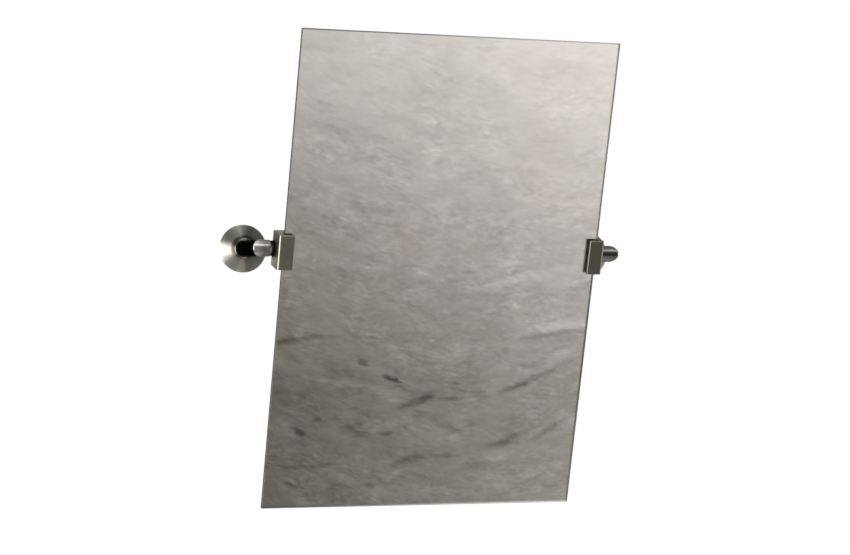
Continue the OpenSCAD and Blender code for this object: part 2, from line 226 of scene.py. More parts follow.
def brushed(net, shader, streaks, colour, spread, rough, rough_spread, depth, painted_light=1.0):
    """Colour and roughness from the streaks and a cloudier noise, relief from the streaks. The colour is
    multiplied by painted light or shade, which is 1 where none is given.
    """
    clouds = net.noise(place(net), scale=60.0, detail=3.0, roughness=0.55)
    both = net.share(streaks, clouds, part=0.65)
    dark = tuple(c * (1 - spread) for c in colour)
    light = tuple(min(1.0, c * (1 + spread)) for c in colour)
    metal = net.mix(net.stretch(both, reach=0.18, smooth=False), rgb(*dark), rgb(*light))
    roughness = net.stretch(both, reach=0.2, to_low=rough + rough_spread, to_high=rough - rough_spread,
                            smooth=False)
    net.fill(shader,
             Base_Color=net.with_painted_light(metal, painted_light),
             Roughness=roughness,
             Normal=net.bump(streaks, depth, BRUSH_RELIEF))


CLAMP_SQUEEZE = (1.0, 1.0, 0.02)     # draws the streaks out up the clamp
LEFT_FACING = (-0.97, -0.90)         # the normal's X on faces that point left, which get painted shade, and where that ends
LEFT_FACING_PAINTED_SHADE = 0.62


def clamp_nickel(net, shader):
    """Flat metal brushed up and down. The faces that point left are darkened by painted shade."""
    streaks = net.noise(net.scaled(upright(net), *CLAMP_SQUEEZE), scale=1100.0, detail=3.0, roughness=0.65)
    facing = net.add("ShaderNodeNewGeometry").outputs["Normal"]
    # painted shade on the faces that point left
    painted_light = net.fit(net.split(facing)[0], *LEFT_FACING, LEFT_FACING_PAINTED_SHADE, 1.0)
    brushed(net, shader, streaks, NICKEL, spread=0.10, rough=0.30, rough_spread=0.05,
            depth=0.00002, painted_light=painted_light)
    along = net.turn(tuple(UP_GLASS), "VECTOR", "OBJECT", "WORLD")
    net.fill(shader, Tangent=net.vector("CROSS_PRODUCT", along, facing))


# The two barrels are lit and shaded copies of one nickel: the left is painted lighter, the right darker.
# Each goes from a dark to a light tone of its grain.
ARM_DARK_PAINTED_LIGHT_LEFT = rgb(0.46, 0.44, 0.41)
ARM_LIGHT_PAINTED_LIGHT_LEFT = rgb(0.74, 0.72, 0.68)
ARM_DARK_PAINTED_SHADE_RIGHT = rgb(0.25, 0.24, 0.22)
ARM_LIGHT_PAINTED_SHADE_RIGHT = rgb(0.46, 0.44, 0.41)
# The post's near-black is painted shade, as is its black Specular Tint, which takes the glint off its sides.
POST_DARK_PAINTED_SHADE = rgb(0.045, 0.043, 0.038)
POST_LIGHT_PAINTED_SHADE = rgb(0.075, 0.072, 0.065)
MITRE_SOFT = 0.0003                  # the finish changes over this length on either side of the mitre
LEFT_LIT_TO_RIGHT_SHADED = (-0.1, 0.1)          # X where the painted light of the left barrel gives way to the painted shade of the right
BARREL_PAINTED_SHADE_SPAN = (-0.239, -0.230)    # X where painted shade darkens the left barrel, towards its washer
BARREL_PAINTED_SHADE = 0.55
ARM_STREAKS = (1500.0, 0.0, 0.0)     # streaks a metre along the bar
ARM_STREAK_TURNS = (0.0, 0.0, 14.0)  # and how fast they change round it


def arm_nickel(net, shader):
    """The left barrel is painted lighter and the right one darker, as painted light and shade, and the left
    one has painted shade towards its washer. The post behind the mitre is painted nearly black as painted
    shade and has no glint at its sides.
    """
    x, y, _ = net.split(place(net))
    past_mitre = net.plus(net.minus(net.math("ABSOLUTE", x), POST_X), net.minus(y, PIVOT_Y))
    on_post = net.fit(past_mitre, -MITRE_SOFT, MITRE_SOFT)
    along = net.mix(on_post, net.join(x, 0.0), net.join(y, 0.0))
    grain = net.vector("ADD", net.scaled(along, *ARM_STREAKS), net.scaled(place(net), *ARM_STREAK_TURNS))
    streaks = net.noise(grain, detail=3.0, roughness=0.6)
    clouds = net.noise(place(net), scale=130.0, detail=3.0, roughness=0.55)
    both = net.share(streaks, clouds, part=0.4)
    tone = net.stretch(both, reach=0.16)
    left = net.with_painted_light(net.mix(tone, ARM_DARK_PAINTED_LIGHT_LEFT, ARM_LIGHT_PAINTED_LIGHT_LEFT),
                      net.fit(x, *BARREL_PAINTED_SHADE_SPAN, 1.0, BARREL_PAINTED_SHADE))
    right = net.mix(tone, ARM_DARK_PAINTED_SHADE_RIGHT, ARM_LIGHT_PAINTED_SHADE_RIGHT)
    barrel = net.mix(net.fit(x, *LEFT_LIT_TO_RIGHT_SHADED), left, right)
    # The barrel colours carry painted light and shade; the post's colour and black Specular Tint are painted
    # shade.
    net.fill(shader,
             Base_Color=net.mix(on_post, barrel, net.mix(tone, POST_DARK_PAINTED_SHADE, POST_LIGHT_PAINTED_SHADE)),
             Specular_Tint=net.mix(on_post, rgb(1, 1, 1), rgb(0, 0, 0)),
             Roughness=net.stretch(both, reach=0.2, to_low=0.31, to_high=0.17, smooth=False),
             Normal=net.bump(streaks, distance=0.000008, strength=BRUSH_RELIEF))


# Painted light and shade on a flange, by the distance from the middle of its post
FOOT_TO_TOP = (-0.022, 0.022)
# painted light at the foot of the flange, painted shade at its top
FOOT_TO_TOP_PAINTED_LIGHT = (1.3, 0.72)
OUTER_SIDE = (0.010, 0.018)          # where the painted highlight on the outer side begins
OUTER_HEIGHT = (-0.006, 0.006)       # its foot and its top
OUTER_SOFT = 0.006
OUTER_PAINTED_HIGHLIGHT = 0.45
ROUND_COLLAR = (0.0150, 0.0185)      # the ring of painted shade close round the collar, and where it ends
ROUND_COLLAR_PAINTED_SHADE = 0.32
RING_FROM = (-0.012, -0.002)         # height where the ring of painted shade begins
RAY_SLOPE = (-0.02, 0.26)            # a painted highlight in a ray up and down, between these slopes away from upright
RAY_SOFT = 0.14
RAY_PAINTED_HIGHLIGHT = 0.36
RAY_LEAST = 0.004                    # nearer the middle than this the ray grows no narrower


def flange_painted_light(net, off, z, radius):
    """Painted highlights on the outer side and in a ray up and down, painted light at the foot, painted
    shade on top and close round the collar.
    """
    top = net.fit(z, *FOOT_TO_TOP, *FOOT_TO_TOP_PAINTED_LIGHT)
    outer = net.times(net.fit(off, *OUTER_SIDE), net.window(z, *OUTER_HEIGHT, OUTER_SOFT))
    painted_collar_shade = net.fit(radius, *ROUND_COLLAR, ROUND_COLLAR_PAINTED_SHADE, 1.0)
    dull = net.fit(net.fit(z, *RING_FROM), 0.0, 1.0, 1.0, painted_collar_shade, smooth=False)
    slope = net.math("DIVIDE", off, net.math("MAXIMUM", net.math("ABSOLUTE", z), RAY_LEAST))
    ray = net.window(slope, *RAY_SLOPE, RAY_SOFT)
    painted_highlights = net.times_plus(outer, OUTER_PAINTED_HIGHLIGHT, net.times_plus(ray, RAY_PAINTED_HIGHLIGHT, 1.0))
    return net.times(net.times(top, dull), painted_highlights)


RINGS = 1700.0                       # rings a metre, out from the post
RINGS_ALONG = 300.0                  # and along it


def spun_nickel(colour, rough, painted_lighting=None):
    """Turned on a lathe round a post: the streaks are rings. Painted light, where given, is multiplied into
    the colour.
    """
    def build(net, shader):
        x, y, z = net.split(place(net))
        off = net.minus(net.math("ABSOLUTE", x), POST_X)
        radius = net.vector("LENGTH", net.join(off, 0.0, z))
        rings = net.join(net.times(radius, RINGS), net.times(y, RINGS_ALONG))
        streaks = net.noise(rings, detail=3.0, roughness=0.65)
        painted_light = painted_lighting(net, off, z, radius) if painted_lighting else 1.0
        brushed(net, shader, streaks, colour, spread=0.08, rough=rough, rough_spread=0.04,
                depth=0.000016, painted_light=painted_light)
        tangent = net.add("ShaderNodeTangent", {"direction_type": "RADIAL", "axis": "Y"})
        net.fill(shader, Tangent=tangent.outputs[0])
    return build


def steel(colour, rough, scale):
    """Machined steel with a fine even grain."""
    def build(net, shader):
        streaks = net.noise(place(net), scale, detail=4.0, roughness=0.6)
        brushed(net, shader, streaks, colour, spread=0.10, rough=rough, rough_spread=0.06, depth=0.00001)
    return build


ZINC_DARK = rgb(0.46, 0.48, 0.52)
ZINC_LIGHT = rgb(0.68, 0.70, 0.72)


def zinc(net, shader):
    """Zinc plating: crystal flakes under a cloudy grey."""
    at = place(net)
    flake = net.add("ShaderNodeTexVoronoi", {"feature": "F1"}, Vector=at, Scale=420.0)
    clouds = net.noise(at, scale=90.0, detail=3.0)
    both = net.share(net.split(flake.outputs["Color"])[0], clouds, part=0.4)
    net.fill(shader,
             Base_Color=net.mix(both, ZINC_DARK, ZINC_LIGHT),
             Roughness=net.stretch(both, reach=0.3, to_low=0.42, to_high=0.26),
             Normal=net.bump(clouds, distance=0.00003))


# ---- plastics, liner and paint ---------------------------------------------------

MOULD_ROUGH_SPREAD = 0.07
MOULD_BROADER = 12.0                 # how much broader the second noise is than the grain


def moulded(dark, light, rough, grain):
    """Moulded plastic with a fine grain, from dark to light."""
    def build(net, shader):
        at = place(net)
        fine = net.noise(at, grain, detail=3.0, roughness=0.6)
        both = net.share(fine, net.noise(at, grain / MOULD_BROADER), part=0.5)
        roughness = net.stretch(both, reach=0.2, to_low=rough + MOULD_ROUGH_SPREAD,
                                to_high=rough - MOULD_ROUGH_SPREAD)
        net.fill(shader,
                 Base_Color=net.mix(net.stretch(both, reach=0.15), dark, light),
                 Roughness=roughness,
                 Normal=net.bump(fine, distance=0.00003, strength=0.5))
    return build


PAINT_DARK = rgb(0.150, 0.165, 0.160)
PAINT_LIGHT = rgb(0.215, 0.230, 0.222)
PAINT_SQUEEZE = (1.0, 1.0, 0.03)     # draws the curtains of the paint out up the glass


def back_paint(net, shader):
    """Grey paint with orange peel, poured on in a curtain."""
    at = upright(net)
    peel = net.noise(at, scale=900.0, detail=3.0, roughness=0.6)
    curtain = net.noise(net.scaled(at, *PAINT_SQUEEZE), scale=70.0, detail=3.0, roughness=0.6)
    broad = net.noise(at, scale=9.0, detail=4.0, roughness=0.6)
    both = net.share(curtain, broad, part=0.5)
    net.fill(shader,
             Base_Color=net.mix(net.stretch(both, reach=0.15), PAINT_DARK, PAINT_LIGHT),
             Roughness=net.stretch(peel, reach=0.2, to_low=0.80, to_high=0.66),
             Normal=net.bump(peel, distance=0.00006, strength=0.6))


# ---- glass and silver ------------------------------------------------------------

RIGHT_SIDE = (-0.1, 0.2)             # X where the right edge's painted light begins, and where it is full
RIGHT_DULL = (-0.17, 0.0)            # foot and top of the stretch with no painted light, measured up the glass
RIGHT_DULL_SOFT = 0.07


def right_edge_painted_light(net, at):
    """Painted light: 1 at the top and the foot of the right edge, 0 at its middle and at the left edge."""
    x, _, z = net.split(at)
    dull = net.window(z, *RIGHT_DULL, RIGHT_DULL_SOFT)
    return net.times(net.fit(x, *RIGHT_SIDE), net.minus(1.0, dull))


GLASS_CLEAR = rgb(0.985, 1.0, 0.99)
# The ground edges' colours: painted shade on the left edge, painted light on the right, and a painted
# highlight at the top and foot of the right edge.
GLASS_EDGE_PAINTED_SHADE_LEFT = rgb(0.03, 0.045, 0.035)
GLASS_EDGE_PAINTED_LIGHT_RIGHT = rgb(0.66, 0.70, 0.66)
GLASS_EDGE_PAINTED_HIGHLIGHT = rgb(0.97, 0.98, 0.97)
GLASS_ABSORBS = rgb(0.80, 0.95, 0.88)
GLASS_DENSITY = 9.0
ON_THE_EDGES = (0.90, 0.98)          # how squarely a face looks out, from ground edge to polished face
# X over which the left edge's painted shade gives way to the right edge's painted light
SIDE_TO_SIDE = (-0.21, 0.21)


def glass(net, shader):
    """Clear float glass, greenish inside, with ground edges that carry painted shade on the left and painted
    light on the right.
    """
    at = upright(net)
    normal = net.add("ShaderNodeNewGeometry").outputs["True Normal"]
    facing = net.turn(normal, "NORMAL", "WORLD", "OBJECT")
    flat = net.math("ABSOLUTE", net.vector("DOT_PRODUCT", facing, tuple(OUT_OF_GLASS)))
    ground = net.fit(flat, *ON_THE_EDGES, 1.0, 0.0)
    grain = net.stretch(net.noise(at, scale=1500.0), reach=0.2, to_low=0.18, to_high=0.34)
    right = net.mix(right_edge_painted_light(net, at), GLASS_EDGE_PAINTED_LIGHT_RIGHT, GLASS_EDGE_PAINTED_HIGHLIGHT)
    edge = net.mix(net.fit(net.split(at)[0], *SIDE_TO_SIDE), GLASS_EDGE_PAINTED_SHADE_LEFT, right)
    net.fill(shader,
             Base_Color=net.mix(ground, GLASS_CLEAR, edge),
             Roughness=net.times(ground, grain))
    volume = net.add("ShaderNodeVolumeAbsorption", Color=GLASS_ABSORBS, Density=GLASS_DENSITY)
    net.fill(net.output, Volume=volume.outputs[0])


SILVER = rgb(0.955, 0.955, 0.94)
# The worn rim's tones: wear with painted shade, darker on the left; then its painted highlight
WEAR_AND_SHADE_LEFT = rgb(0.24, 0.26, 0.22)
WEAR_AND_SHADE_RIGHT = rgb(0.42, 0.44, 0.40)
WORN_RIM_PAINTED_HIGHLIGHT = rgb(0.90, 0.90, 0.88)
WORN_WIDTH = (0.0009, 0.0019)        # the worn rim, in from the edge, and where it has ended
WORN_RAGGED = 0.0008
WORN_ROUGH = 0.35
# X over which the rim's darker painted shade on the left gives way to its tone on the right
LEFT_TO_MIDDLE = (-0.21, 0.0)


def from_edge(net, at):
    """How far a point is from the nearest edge of the glass."""
    x, _, z = net.split(at)
    middle = -PIVOT_Y * math.sin(LEAN) - PIVOT_ABOVE_MIDDLE
    side = net.minus(GLASS_W / 2, net.math("ABSOLUTE", x))
    end = net.minus(GLASS_H / 2, net.math("ABSOLUTE", net.minus(z, middle)))
    return net.math("MINIMUM", side, end)


def silver(net, shader):
    """A mirror with a very slight wave and a narrow worn rim. The rim's tone is wear with painted shade,
    darker on the left, and a painted highlight at the top and foot of the right edge.
    """
    at = upright(net)
    ragged = net.times(net.swing(at, scale=260.0, detail=3.0), WORN_RAGGED)
    worn = net.fit(net.plus(from_edge(net, at), ragged), *WORN_WIDTH, 1.0, 0.0)
    dull = net.mix(net.fit(net.split(at)[0], *LEFT_TO_MIDDLE), WEAR_AND_SHADE_LEFT, WEAR_AND_SHADE_RIGHT)
    rim = net.mix(right_edge_painted_light(net, at), dull, WORN_RIM_PAINTED_HIGHLIGHT)
    net.fill(shader,
             Base_Color=net.mix(worn, SILVER, rim),
             Roughness=net.times(worn, WORN_ROUGH),
             Normal=net.bump(net.noise(at, scale=14.0), distance=0.000004))


# ---- dressing the CAD nodes ------------------------------------------------------

BLACK_NYLON = (rgb(0.0015, 0.0015, 0.0015), rgb(0.004, 0.004, 0.004))
WHITE_NYLON = (rgb(0.70, 0.69, 0.65), rgb(0.80, 0.79, 0.75))
VINYL = (rgb(0.20, 0.21, 0.20), rgb(0.30, 0.31, 0.30))
QUARTER_TURN = 0.25                  # turns the drawn-out glints from along the rings to across them

# Each finish with the parts of a bracket that have it
BRACKET_FINISHES = (
    (material("nickel_brushed_flat", clamp_nickel, Metallic=1.0, Anisotropic=0.5), ("clamp_body",)),
    (material("nickel_turned_bar", arm_nickel, Metallic=1.0), ("arm",)),
    (material("nickel_spun_disc", spun_nickel(FLANGE_NICKEL, rough=0.42, painted_lighting=flange_painted_light),
              Metallic=1.0, Anisotropic=0.95, Anisotropic_Rotation=QUARTER_TURN), ("flange",)),
    # painted shade: the collar's darker nickel and its black Specular Tint
    (material("nickel_collar", spun_nickel(COLLAR_NICKEL_PAINTED_SHADE, rough=0.14),
              Metallic=1.0, Anisotropic=0.6, Anisotropic_Rotation=QUARTER_TURN,
              Specular_Tint=rgb(0, 0, 0)), ("collar",)),
    (material("steel_bright", steel(BRIGHT_STEEL, rough=0.22, scale=700.0), Metallic=1.0),
     ("pressure_plate", "clamp_screws", "pivot_pin", "friction_screw", "flange_screw", "post_screw")),
    (material("steel_spring", steel(SPRING_STEEL, rough=0.30, scale=500.0), Metallic=1.0),
     ("spring_washer",)),
    (material("steel_zinc_plated", zinc, Metallic=1.0), ("wall_plate",)),
    (material("liner_vinyl", moulded(*VINYL, rough=0.6, grain=900.0)), ("clamp_liner",)),
    (material("nylon_black", moulded(*BLACK_NYLON, rough=0.55, grain=1400.0), Specular_IOR_Level=0.05),
     ("friction_washer",)),
    (material("nylon_white", moulded(*WHITE_NYLON, rough=0.42, grain=1400.0)),
     ("pivot_bush", "friction_tip")),
)
FILM_GAP = 0.00003                   # keeps the silver off the glass, so that light meets them apart


def dress(node, finish):
    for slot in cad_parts[node].material_slots:
        slot.material = finish


def drawn_back(name, node, body):
    """A copy of a thin CAD film whose front face stands FILM_GAP behind the glass, in the node's place."""
    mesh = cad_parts[node].data.copy()
    mesh.name = name
    into_wall = -OUT_OF_GLASS
    depths = [vertex.co @ into_wall for vertex in mesh.vertices]
    middle = (min(depths) + max(depths)) / 2
    for vertex, depth in zip(mesh.vertices, depths):
        if depth < middle:
            vertex.co += into_wall * FILM_GAP
    piece = bpy.data.objects.new(name, mesh)
    bpy.context.scene.collection.objects.link(piece)
    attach(piece, body)
    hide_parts(node)
    return piece


dress("mirror_glass", material("glass_clear", glass, Transmission_Weight=1.0, IOR=1.52))
dress("backing_paint", material("paint_backing", back_paint, Specular_IOR_Level=0.2))
silver_film = drawn_back("silver_film", "silver_coating", "mirror")
silver_film.data.materials.clear()
silver_film.data.materials.append(material("silver_film", silver, Metallic=1.0))
for finish, parts in BRACKET_FINISHES:
    for part in parts:
        dress(f"left_{part}", finish)
        dress(f"right_{part}", finish)


# ---- meshes for the stage --------------------------------------------------------

def mesh_object(name, points, faces):
    mesh = bpy.data.meshes.new(name)
    mesh.from_pydata(points, [], faces)
    obj = bpy.data.objects.new(name, mesh)
    bpy.context.scene.collection.objects.link(obj)
    return obj


def circle(spokes):
    """The cosine and sine of each spoke's angle."""
    angles = [2 * math.pi * spoke / spokes for spoke in range(spokes)]
    return [(math.cos(angle), math.sin(angle)) for angle in angles]


def bands(count, spokes, first):
    """The faces of bands between rings of points, where the first ring starts at this point."""
    faces = []
    for band in range(count):
        start = first + band * spokes
        for spoke in range(spokes):
            a = start + spoke
            b = start + (spoke + 1) % spokes
            faces.append((a, a + spokes, b + spokes, b))
    return faces


def shell(name, radius, opening, rings=48, spokes=96):
    """A sphere round the object, open towards the wall by a cone of this half angle in degrees."""
    points = []
    for ring in range(rings + 1):
        tip = math.radians(180.0 - opening) * ring / rings
        out = radius * math.sin(tip)
        for cos, sin in circle(spokes):
            points.append((out * cos, -radius * math.cos(tip), out * sin))
    return mesh_object(name, points, bands(rings, spokes, first=0))


def disc(name, radius, height, rings=12, spokes=128):
    points = [(0.0, 0.0, height)]
    for ring in range(1, rings + 1):
        out = radius * ring / rings
        for cos, sin in circle(spokes):
            points.append((out * cos, out * sin, height))
    middle = [(0, 1 + spoke, 1 + (spoke + 1) % spokes) for spoke in range(spokes)]
    return mesh_object(name, points, middle + bands(rings - 1, spokes, first=1))


# ---- the stone room that the glass reflects --------------------------------------

MM = 1000.0                          # millimetres in a metre
LEAST_REACH = 0.25                   # points nearer the plane of the eye than this count as this far

# Marks in the stone, as the glass shows them to the camera. Each is an oval: millimetres
# across and up from the middle of the glass, half its length, half its width, its slope in degrees, and how
# many tones darker it is.
STONE_MARKS = (
    (-50, -136, 12, 3, -20, 64), (-92, -114, 7, 3, -29, 34), (33, -163, 15, 3, 5, 22),
    (36, -141, 6, 2, -10, 24), (-18, -168, 24, 4, 17, 22), (-2, -161, 10, 5, 40, 14),
    (118, -147, 18, 4, 16, 26), (152, -131, 44, 4, 25, 24), (-191, -86, 20, 4, 5, 34),
    (-150, -81, 24, 3, 3, 16), (-90, -80, 22, 3, -4, 12), (-168, -206, 9, 3, -36, 34),
    (-148, -190, 6, 2, 0, 20), (-96, -206, 16, 5, -12, 14), (-53, -208, 9, 3, -10, 28),
    (-14, -242, 24, 5, 16, 22), (30, -239, 18, 3, 2, 22), (108, -224, 20, 4, 12, 24),
    (130, -212, 26, 4, 24, 18), (168, -207, 24, 4, 36, 22), (-173, -275, 10, 3, -24, 28),
    (-68, -277, 7, 3, -14, 22), (-116, -283, 8, 14, 0, 12), (-150, -250, 40, 3, 2, 12),
    (40, -205, 22, 3, -18, 12), (-58, -155, 26, 9, -20, -15), (-120, -140, 50, 3, -10, -12),
    (168, -66, 40, 7, 6, -26), (120, -92, 26, 4, 2, -14), (160, -76, 45, 3, 8, 18),
    (116, -2, 70, 6, 13, -13), (178, -104, 14, 5, 20, -14), (107, -243, 12, 5, 10, -14),
)
MARK_POWER = 1.5                     # how flat the middle of a mark is before its edge falls
MARK_FALL = -0.8                     # and how far out that edge lies

STONE_DEEP = rgb(1.0, 0.86, 0.765)   # the stone's colour where it is dark
STONE_PALE = rgb(1.0, 0.900, 0.875)  # where it is light
STONE_BLUSH = rgb(1.0, 0.865, 0.805)  # and in the rusty patches
DEEP_TO_PALE = (95.0, 185.0)         # the tones between which it goes from one to the other
DARKEST = 40.0
LIGHTEST = 240.0
WHITE_TONE = 255.0
TONE_POWER = 2.2                     # takes a tone of the picture to an amount of light

# Light on the stone, between two places in millimetres on the glass. The other two numbers are the tones
# there, or the tones that are added there.
LIGHT_BY_HEIGHT = (-160.0, 330.0, 129.0, 230.0)
LIGHT_ACROSS = (-320.0, 320.0, -38.0, 38.0)
BEYOND_TOP = (350.0, 900.0, 0.0, -42.0)
BEYOND_RIGHT = (330.0, 900.0, 0.0, -48.0)
BEYOND_FOOT = (-900.0, -330.0, 60.0, 0.0)
BEYOND_LEFT = (-900.0, -400.0, 90.0, 0.0)
# What some of these are multiplied by, in the same way
ACROSS_BY_HEIGHT = (60.0, 280.0, 1.0, 0.82)
LEFT_HIGH = (50.0, 140.0, 0.0, 1.0)
LEFT_LOW = (-300.0, -80.0, 0.55, 0.0)

# How the layers of the stone bend: their slope in the middle, how it changes for each millimetre across,
# and the width over which they bend. Then an uneven drift up and down.
BEND_SLOPE = 0.06
BEND_CHANGE = -0.0004
BEND_WIDTH = (-260.0, 260.0)
BEND_SOFT = 120.0
DRIFT_LENGTH = 70.0
DRIFT_HEIGHT = 40.0
DRIFT_SEED = 3.0
DRIFT = 20.0

# Layers of noise: length and height of a stroke in millimetres, slope in degrees, detail, roughness, seed
LAYERS = {
    "wide": (90.0, 44.0, -6.0, 4.0, 0.6, 11.0),
    "clouds": (34.0, 15.0, -10.0, 4.0, 0.62, 23.0),
    "cross": (28.0, 11.0, 14.0, 4.0, 0.58, 29.0),
    "wrinkles": (10.5, 4.4, -8.0, 3.0, 0.62, 37.0),
    "flecks": (17.0, 8.0, -10.0, 3.0, 0.6, 71.0),
    "patches": (60.0, 42.0, 0.0, 2.0, 0.5, 83.0),
    "blush": (80.0, 60.0, 0.0, 3.0, 0.5, 51.0),
}
GRAIN_TONES = {"clouds": 44.0, "cross": 32.0, "wrinkles": 36.0, "flecks": 14.0}
WIDE_TONES = 37.0
FLECK_CUT = (0.10, 0.22)             # only the peaks of this layer show
BLUSH_CUT = (0.03, 0.20, 0.0, 0.5)   # and of this one, at half strength
PATCH_STRENGTH = (-0.16, 0.16, 0.6, 1.4)    # the grain is weaker in some patches
CALM_BY_HEIGHT = (40.0, 260.0, 1.0, 0.7)    # and higher up
RAGGED_ACROSS = 22.0                 # how far, in millimetres, the noise frays the marks
RAGGED_UP = 12.0


def in_the_glass(net):
    """Where on the glass, in millimetres from its middle, the main view shows a point of the room."""
    eye = CAMERA_AT - 2 * (CAMERA_AT - SILVER_MIDDLE).dot(OUT_OF_GLASS) * OUT_OF_GLASS
    way = net.vector("SUBTRACT", place(net), tuple(eye))
    reach = net.math("MAXIMUM", net.vector("DOT_PRODUCT", way, tuple(OUT_OF_GLASS)), LEAST_REACH)
    part = net.math("DIVIDE", MM * (SILVER_MIDDLE - eye).dot(OUT_OF_GLASS), reach)
    eye_up = (eye - SILVER_MIDDLE).dot(UP_GLASS)
    across = net.times_plus(net.vector("DOT_PRODUCT", way, (1, 0, 0)), part, MM * eye.x)
    up = net.times_plus(net.vector("DOT_PRODUCT", way, tuple(UP_GLASS)), part, MM * eye_up)
    return across, up


def turned(net, across, up, slope, along_unit, over_unit):
    """Two lengths along and over a line that rises at slope degrees, each in its own unit."""
    cos = math.cos(math.radians(slope))
    sin = math.sin(math.radians(slope))
    along = net.times_plus(across, cos / along_unit, net.times(up, sin / along_unit))
    over = net.times_plus(up, cos / over_unit, net.times(across, -sin / over_unit))
    return along, over


def oval(net, across, up, x, z, half_length, half_width, slope):
    """1 in the middle of a mark of the stone, fading to nothing outside it."""
    along, over = turned(net, net.minus(across, x), net.minus(up, z), slope, half_length, half_width)
    spread = net.times_plus(along, along, net.times(over, over))
    return net.math("EXPONENT", net.times(net.math("POWER", spread, MARK_POWER), MARK_FALL))


def stone_light(net, across, up):
    """The tone of the stone before its grain: lighter above and on the right."""
    by_height = net.fit(up, *LIGHT_BY_HEIGHT, smooth=False)
    by_side = net.fit(across, *LIGHT_ACROSS, smooth=False)
    tone = net.times_plus(by_side, net.fit(up, *ACROSS_BY_HEIGHT), by_height)
    for where, ends in ((up, BEYOND_TOP), (across, BEYOND_RIGHT), (up, BEYOND_FOOT)):
        tone = net.plus(tone, net.fit(where, *ends))
    high_or_low = net.plus(net.fit(up, *LEFT_HIGH), net.fit(up, *LEFT_LOW))
    return net.times_plus(net.fit(across, *BEYOND_LEFT), high_or_low, tone)


def bent_up(net, across, up):
    """The height of a point over the bent and drifting layers of the stone."""
    slope = net.times_plus(across, BEND_CHANGE, BEND_SLOPE)
    bend = net.times(slope, net.window(across, *BEND_WIDTH, BEND_SOFT))
    at = net.join(net.math("DIVIDE", across, DRIFT_LENGTH),
                  net.math("DIVIDE", up, DRIFT_HEIGHT),
                  DRIFT_SEED)
    return net.times_plus(net.swing(at, detail=1.0), DRIFT, net.times_plus(bend, across, up))


def stone_layers(net, across, up):
    """Each layer of noise by its name."""
    height = bent_up(net, across, up)
    layers = {}
    for name, (length, thickness, slope, detail, roughness, seed) in LAYERS.items():
        along, over = turned(net, across, height, slope, length, thickness)
        layers[name] = net.swing(net.join(along, over, seed), detail=detail, roughness=roughness)
    layers["flecks"] = net.fit(layers["flecks"], *FLECK_CUT)
    return layers


def stone_room(net, shader):
    """Warm grey stone with a fine grain and a few dark veins."""
    across, up = in_the_glass(net)
    layers = stone_layers(net, across, up)
    grain = 0.0
    for name, tones in GRAIN_TONES.items():
        grain = net.times_plus(layers[name], tones, grain)
    calm = net.times(net.fit(up, *CALM_BY_HEIGHT), net.fit(layers["patches"], *PATCH_STRENGTH))
    tone = net.times_plus(grain, calm, stone_light(net, across, up))
    tone = net.times_plus(layers["wide"], WIDE_TONES, tone)
    ragged_across = net.times_plus(layers["wrinkles"], RAGGED_ACROSS, across)
    ragged_up = net.times_plus(layers["clouds"], RAGGED_UP, up)
    for *shape, darker in STONE_MARKS:
        tone = net.times_plus(oval(net, ragged_across, ragged_up, *shape), -darker, tone)
    tone = net.math("MINIMUM", net.math("MAXIMUM", tone, DARKEST), LIGHTEST)
    plain = net.mix(net.fit(tone, *DEEP_TO_PALE), STONE_DEEP, STONE_PALE)
    net.fill(shader,
             Color=net.mix(net.fit(layers["blush"], *BLUSH_CUT), plain, STONE_BLUSH),
             Strength=net.math("POWER", net.math("DIVIDE", tone, WHITE_TONE), TONE_POWER))


# ---- the studio that the metal reflects ------------------------------------------

# Lights that the metal shows: azimuth from, to, elevation from, to, soft edge (degrees), level. Azimuth 0 is
# straight in front of the wall and the azimuth grows to the right.
STUDIO_LIGHTS = (
    (-108.0, -46.0, -33.0, 10.0, 5.0, 4.2),      # softbox on the left
    (-46.0, -20.0, -11.0, 9.0, 4.0, 4.0),        # its near end, drawn out into a wedge by the spun flange
    (-10.0, 24.0, 34.0, 50.0, 8.0, 1.7),         # softbox above the camera
    (30.0, 46.0, 38.0, 62.0, 6.0, 0.9),          # a window high on the right
    (-200.0, 200.0, 72.0, 95.0, 6.0, 0.5),       # ceiling
    (62.0, 125.0, -40.0, 45.0, 6.0, 1.0),        # softbox on the right
    (-200.0, 200.0, -95.0, -62.0, 8.0, 0.22),    # floor
)
DARK_PLACE = (21.0, 44.0, -23.0, 20.0, 3.0)      # a black patch between them, in the same terms

STUDIO_COLOUR = rgb(1.0, 0.985, 0.95)
BASE_LEVEL = (-60.0, 5.0, 0.24, 0.36)            # elevation from, to, and the level outside the lights
RIGHT_OF_CAMERA = (0.30, 0.38)       # X over the room's radius, where its right-hand part begins
LEFT_OVER_HIGH = 0.5                 # how much of the base level is left there
LEFT_OVER_LOW = 0.9                  # and towards the floor
LOW_TO_HIGH = (-36.0, -24.0)         # elevation where one gives way to the other
LEVEL_FOR_GLASS = 0.25               # what the sharp glint of the glass shows, to keep it free of grain


def bearings(net):
    """Azimuth and elevation in degrees of a point of the room, and its X over the room's radius."""
    x, y, z = net.split(net.vector("NORMALIZE", place(net)))
    azimuth = net.math("DEGREES", net.math("ARCTAN2", x, net.times(y, -1.0)))
    elevation = net.math("DEGREES", net.math("ARCSINE", z))
    return azimuth, elevation, x


